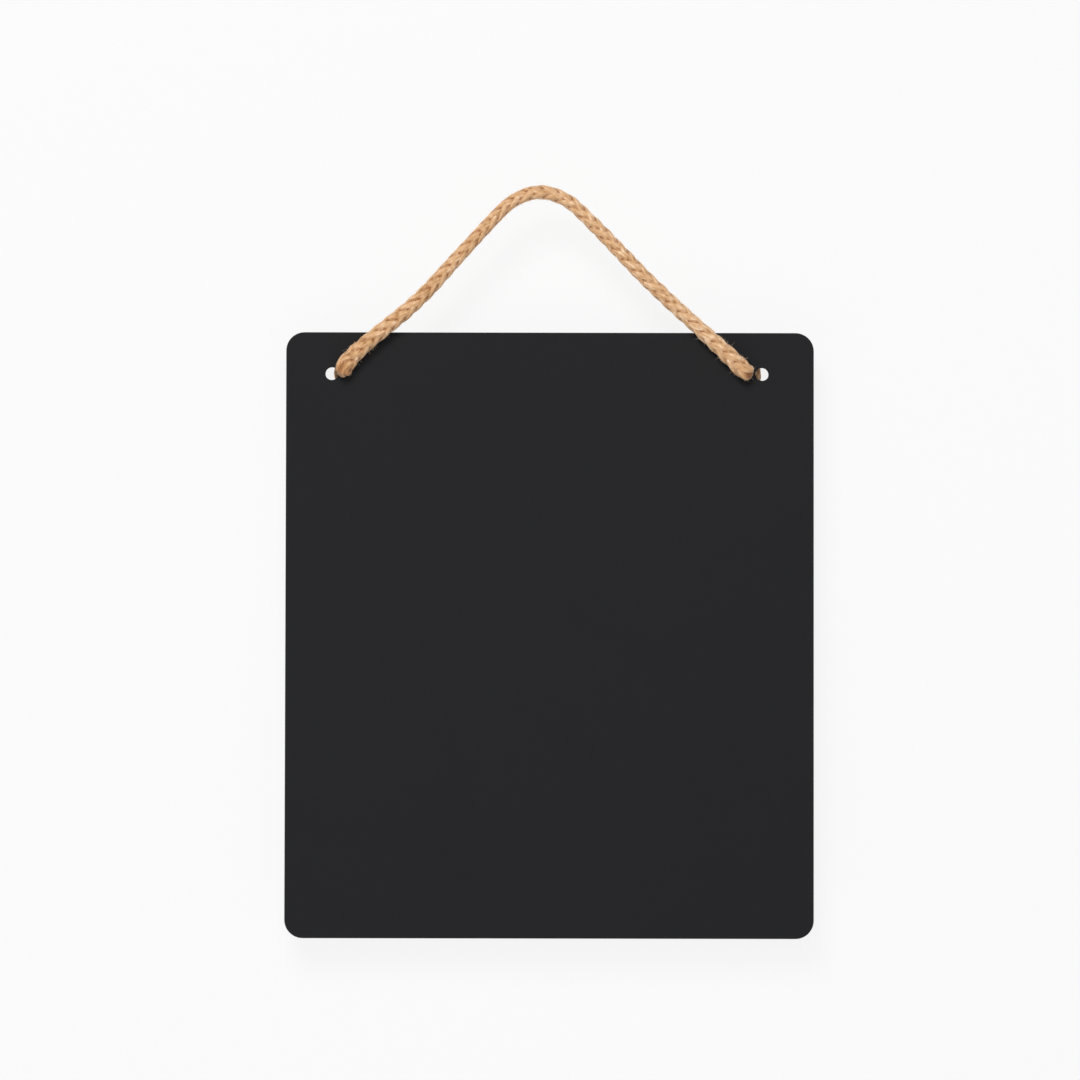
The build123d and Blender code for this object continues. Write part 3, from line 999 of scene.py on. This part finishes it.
def outline_group():
    """1 at the board's outline, falling to 0 a little way in, uneven as real wear is."""
    tree, wires, give = new_group("board outline", "ShaderNodeTree", {
        "Place": "Vector", "Width": 1.0 * MM, "Uneven": 0.5, "Nicks": 160.0,
    }, {"Edge": "Float"})
    from_middle = vector(tree, "ABSOLUTE", vector(tree, "SUBTRACT", wires["Place"], tuple(FACE_CENTRE)))
    beyond = vector(tree, "SUBTRACT", from_middle, (HALF_SIZE.x - CORNER, 0.0, HALF_SIZE.z - CORNER))
    beyond = vector(tree, "MULTIPLY", beyond, (1, 0, 1))
    outside = vector(tree, "LENGTH", vector(tree, "MAXIMUM", beyond, (0, 0, 0)))
    past = axes(tree, beyond)
    inside = calc(tree, "MINIMUM", calc(tree, "MAXIMUM", past["X"], past["Z"]), 0.0)
    inward = calc(tree, "SUBTRACT", CORNER, calc(tree, "ADD", outside, inside))
    edge = spread(tree, calc(tree, "DIVIDE", inward, wires["Width"]), 0.0, 1.0, 1.0, 0.0)
    nicks = noise(tree, wires["Place"], wires["Nicks"], 3.0, 0.6)
    share = calc(tree, "MULTIPLY_ADD", spread(tree, nicks, 0.35, 0.65), wires["Uneven"],
                 calc(tree, "SUBTRACT", 1.0, wires["Uneven"]))
    give(Edge=times(tree, edge, share))
    return tree


matt_effect, outline_effect = matt_group(), outline_group()
print("matt black with", len(matt_effect.nodes), "nodes, outline with", len(outline_effect.nodes))

# %% [markdown]
# ### Sheets and sawn core
#
# The three layers keep the shapes of the measured model and only change their finish. Both sheets are one
# surface with other values, so one function writes the feed of each. The sawn edge adds what the sheets don't
# have: thin layers of pressed fibre that run round the board.

# %% Board materials
RUBBED = (0.03, 0.03, 0.032, 1.0)
RUBBED_SHARE = 0.5
FIBRE_GREY = (0.035, 0.032, 0.028, 1)
LAYER_SCALE = (90.0, 2600.0, 90.0)


def sheet_feeds(rim, **values):
    """A sheet's surface: cloudy matt black, rubbed paler at the rim."""
    def feeds(tree):
        place = own_place(tree)
        sheet = place_group(tree, matt_effect, Place=place, **values)
        edge = place_group(tree, outline_effect, Place=place, Width=rim)["Edge"]
        colour = mix(tree, times(tree, edge, RUBBED_SHARE), sheet["Color"], RUBBED)
        return {"Base Color": colour, "Roughness": sheet["Roughness"], "Normal": sheet["Normal"]}
    return feeds


def core_feeds(tree):
    """The sawn edge: fine fibres pressed in thin layers parallel to the faces."""
    place = own_place(tree)
    sheet = place_group(tree, matt_effect, Place=place, Black=(0.012, 0.0118, 0.0115, 1), Haze=0.35,
                        Cloud_size=60.0, Tooth=0.3, Rough_low=0.82, Rough_high=0.97)
    layers = noise(tree, vector(tree, "MULTIPLY", place, LAYER_SCALE), 1.0, 3.0, 0.6)
    colour = mix(tree, spread(tree, layers, 0.5, 0.72, 0.0, 0.5), sheet["Color"], FIBRE_GREY)
    bump = put(tree, "ShaderNodeBump", 0.35, 0.06 * MM, 0.1, layers, sheet["Normal"])
    return {"Base Color": colour, "Roughness": sheet["Roughness"], "Normal": bump}


def dress(node_name, material):
    """Gives a carried-over node its material, in the slot that it has."""
    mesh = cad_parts[node_name].data
    mesh.materials.clear()
    mesh.materials.append(material)


face = material_on("writing face", sheet_feeds(0.9 * MM), Specular_IOR_Level=0.1)
back = material_on("rear face", sheet_feeds(1.6 * MM, Haze=0.3, Cloud_size=8.0, Wipe_angle=2.2,
                                            Rough_low=0.6, Rough_high=0.85), Specular_IOR_Level=0.25)
sawn = material_on("sawn core", core_feeds, Specular_IOR_Level=0.15)
dress("front_writing_sheet", face)
dress("rear_sheet", back)
dress("core_board", sawn)
print("board dressed in", face.name, "/", back.name, "/", sawn.name)

# %% [markdown]
# ## Wall and floor
#
# The picture is a plain studio shot: the board hangs a knot's depth in front of a pale wall. The wall glows a
# little, so that it stays even and its shadows stay faint. Its back is see-through, so views from behind still
# show the board, and it casts no shadow.

# %% Wall and floor
WALL_Y = WALL_GAP_Y + 0.5 * MM
FLOOR_Z = -0.60
WALL_TOP = 1.0
STUDIO_HALF = 1.6
FLOOR_FRONT, FLOOR_REAR = -2.2, 2.0
WALL_PAINT, WALL_GLOW = (0.085, 0.085, 0.085, 1), 0.86


def plane(name, corners, material):
    """A flat piece of the studio, which isn't part of the object."""
    mesh = bpy.data.meshes.new(name)
    mesh.from_pydata(corners, [], [(0, 1, 2, 3)])
    mesh.materials.append(material)
    piece = bpy.data.objects.new(name, mesh)
    bpy.context.collection.objects.link(piece)
    return piece


def wall_material():
    """Pale paint, lit partly from within, and clear from behind."""
    material = material_on("pale wall", Base_Color=WALL_PAINT, Roughness=1.0, Specular_IOR_Level=0.0,
                           Emission_Color=WHITE, Emission_Strength=WALL_GLOW)
    tree = material.node_tree
    behind = put(tree, "ShaderNodeNewGeometry", out="Backfacing")
    both = put(tree, "ShaderNodeMixShader", behind, tree.nodes["Principled BSDF"].outputs["BSDF"],
               put(tree, "ShaderNodeBsdfTransparent"))
    tree.links.new(both, tree.nodes["Material Output"].inputs["Surface"])
    return material


left, right = -STUDIO_HALF, STUDIO_HALF
wall = plane("wall", [(left, WALL_Y, FLOOR_Z), (right, WALL_Y, FLOOR_Z), (right, WALL_Y, WALL_TOP),
                      (left, WALL_Y, WALL_TOP)], wall_material())
wall.visible_shadow = False
plane("floor", [(left, FLOOR_FRONT, FLOOR_Z), (right, FLOOR_FRONT, FLOOR_Z), (right, FLOOR_REAR, FLOOR_Z),
                (left, FLOOR_REAR, FLOOR_Z)],
      material_on("pale floor", Base_Color=(0.8, 0.8, 0.8, 1), Roughness=0.9))
print("wall at", round(WALL_Y, 4), "m, floor at", FLOOR_Z, "m")

# %% [markdown]
# ## Light
#
# A broad light in front fills every side of the strands. The key light stands above and a little to the left.
# It shades the rope's lower side and throws its soft shadow on the face. Two weaker lights reach the back for
# the views from behind, and an even sky fills what is left.

# %% Light
LIGHTS_LOOK_AT = Vector((0, 0, -0.18))
SKY_STRENGTH = 0.14


def area_light(name, place, width, power):
    """A square soft light that looks at the middle of the board."""
    data = bpy.data.lights.new(name, "AREA")
    data.size = width
    data.energy = power
    lamp = bpy.data.objects.new(name, data)
    lamp.location = place
    lamp.rotation_euler = (LIGHTS_LOOK_AT - lamp.location).to_track_quat("-Z", "Y").to_euler()
    bpy.context.collection.objects.link(lamp)


area_light("front", (0.1, -2.93, 0.44), width=1.3, power=18.0)
area_light("key", (-0.5, -1.9, 1.25), width=1.0, power=46.0)
area_light("back left", (-0.8, 1.4, 0.6), width=0.8, power=9.0)
area_light("back right", (0.9, 1.4, 0.2), width=0.8, power=6.0)
sky = bpy.data.worlds.new("sky")
sky.use_nodes = True
sky.node_tree.nodes["Background"].inputs["Color"].default_value = WHITE
sky.node_tree.nodes["Background"].inputs["Strength"].default_value = SKY_STRENGTH
bpy.context.scene.world = sky
print("lights", [item.name for item in bpy.data.lights])

# %% [markdown]
# ## Hand the pieces over to the moving bodies
#
# The loop and its folds turn as one body, and the board carries the knots. Each piece names the measured solid
# that it stands for, which is hidden. The length of the free loop is printed.

# %% Bodies, and the free loop's length
def belongs(piece, body, *nodes):
    """The piece moves with the body, and stands for the nodes, which are hidden."""
    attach(piece, body)
    if nodes:
        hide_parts(*nodes)


belongs(loop, "rope", "rope_loop")
belongs(left_fold, "rope", "left_rope_elbow")
belongs(right_fold, "rope", "right_rope_elbow")
belongs(left_knot, "board", "left_stopper_knot")
belongs(right_knot, "board", "right_stopper_knot")
for piece in [loop_fuzz] + fold_fuzz:
    belongs(piece, "rope")
for piece in knot_fuzz:
    belongs(piece, "board")

print("free loop", round(RIGHT_CUT - LEFT_CUT, 4), "m long")
